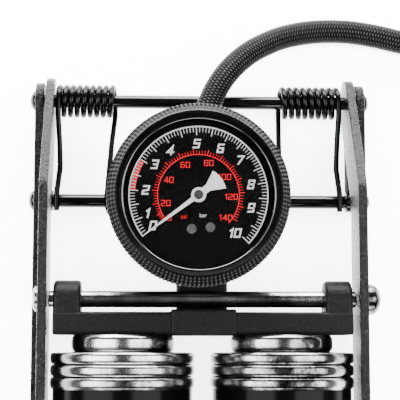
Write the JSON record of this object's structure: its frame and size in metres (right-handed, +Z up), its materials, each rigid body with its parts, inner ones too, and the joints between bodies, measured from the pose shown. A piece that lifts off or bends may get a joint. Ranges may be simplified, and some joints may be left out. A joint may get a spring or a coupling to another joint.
{
  "type": "foot pump",
  "caption": "Folded twin-cylinder foot pump with a hinged steel frame, a torsion spring, a large dial pressure gauge and a braided hose with a tyre connector.",
  "frame": {"origin": "middle of the pump without its hose, on the floor under the feet", "axes": "+Z up, +Y from the pedal towards the frame hinge, +X to the right of the gauge dial as it is read"},
  "size_m": [0.2868, 0.3366, 0.062],
  "materials": {
    "frame_steel": "dark textured powder coat",
    "black_rod": "gloss black",
    "dark_collar": "satin black",
    "bare_steel": "zinc plated",
    "foot_rubber": "matt",
    "spring_steel": "black, glossy",
    "hose_braid": "woven braid, black with grey flecks",
    "ferrule": "crimped",
    "connector_plastic": "moulded",
    "seal_rubber": "matt",
    "chrome": "polished",
    "pedal_rubber": "ribbed",
    "piston_plastic": "moulded",
    "manifold_casting": "matt black casting",
    "barrel_enamel": "gloss black enamel",
    "end_cap_plastic": "moulded",
    "gauge_enamel": "satin black",
    "brass": "drawn",
    "dial_face": "printed dial",
    "dial_screw_metal": "plain",
    "bezel_metal": "knurled, dark",
    "gauge_glass": "clear",
    "pointer_metal": "light grey"
  },
  "bodies": {
    "base": {"base_rail_left": "frame_steel", "base_rail_right": "frame_steel", "hinge_axle": "black_rod", "cross_rod": "black_rod", "cross_rod_collars": "dark_collar", "rear_bracket": "frame_steel", "rear_axle": "bare_steel", "latch_clip": "bare_steel", "foot_pads": "foot_rubber", "torsion_spring": "spring_steel", "hose_run": "hose_braid", "hose_coil": "hose_braid", "tip_ferrule": "ferrule", "connector_body": "connector_plastic", "connector_seal": "seal_rubber", "connector_pin": "bare_steel"},
    "lever": {"lever_rail_left": "frame_steel", "lever_rail_right": "frame_steel", "head_axle_rivets": "chrome", "pedal_plate": "frame_steel", "pedal_pad": "pedal_rubber", "pedal_rivets": "bare_steel", "latch_pin": "bare_steel"},
    "rods": {"piston_rod_left": "bare_steel", "piston_rod_right": "bare_steel", "piston_left": "piston_plastic", "piston_right": "piston_plastic", "piston_seal_left": "seal_rubber", "piston_seal_right": "seal_rubber", "piston_nuts": "bare_steel"},
    "cylinders": {"head_manifold": "manifold_casting", "head_axle": "chrome", "collar_left": "chrome", "collar_right": "chrome", "head_cap_left": "chrome", "head_cap_right": "chrome", "barrel_left": "barrel_enamel", "barrel_right": "barrel_enamel", "end_cap_left": "end_cap_plastic", "end_cap_right": "end_cap_plastic", "guide_bush_left": "piston_plastic", "guide_bush_right": "piston_plastic", "outlet_valve": "seal_rubber", "hose_port": "ferrule", "gauge_case": "gauge_enamel", "gauge_stem": "brass", "bourdon_tube": "brass", "gauge_movement": "brass", "gauge_dial": "dial_face", "dial_screws": "dial_screw_metal", "gauge_bezel": "bezel_metal", "gauge_lens": "gauge_glass"},
    "pointer": {"gauge_pointer": "pointer_metal"},
    "hose_end": {"hose_ferrule": "ferrule"},
    "thumb": {"thumb_lever": "connector_plastic"}
  },
  "joints": [
    {"name": "lever_hinge", "type": "hinge", "parent": "base", "child": "lever", "pos_m": [0, 0.1445, 0.013], "axis": [-1, 0, 0], "range_deg": [0, 50], "deforming": ["torsion_spring"]},
    {"name": "rod_tilt", "type": "hinge", "parent": "base", "child": "rods", "pos_m": [0, -0.1175, 0.034], "axis": [1, 0, 0], "range_deg": [0, 13.33]},
    {"name": "cylinder_stroke", "type": "slide", "parent": "rods", "child": "cylinders", "axis": [0, 1, 0], "range_m": [0, 0.05648]},
    {"name": "hose_follow", "type": "hinge", "parent": "base", "child": "hose_end", "pos_m": [0, -0.14573, 0.27559], "axis": [1, 0, 0], "range_deg": [0, 13.33], "deforming": ["hose_run"]},
    {"name": "pointer_sweep", "type": "hinge", "parent": "cylinders", "child": "pointer", "pos_m": [-0.0024, 0.1007, 0.054], "axis": [0, 0, -1], "range_deg": [0, 260]},
    {"name": "thumb_lever_hinge", "type": "hinge", "parent": "base", "child": "thumb", "pos_m": [0.2009, 0.06021, 0.0281], "axis": [1, 0, 0], "range_deg": [0, 90]}
  ],
  "couplings": [
    {"joint": "rod_tilt", "follows": "lever_hinge", "ratio": 0.26663},
    {"joint": "cylinder_stroke", "follows": "lever_hinge", "m_per_rad": 0.064706},
    {"joint": "hose_follow", "follows": "lever_hinge", "ratio": 0.26663}
  ]
}
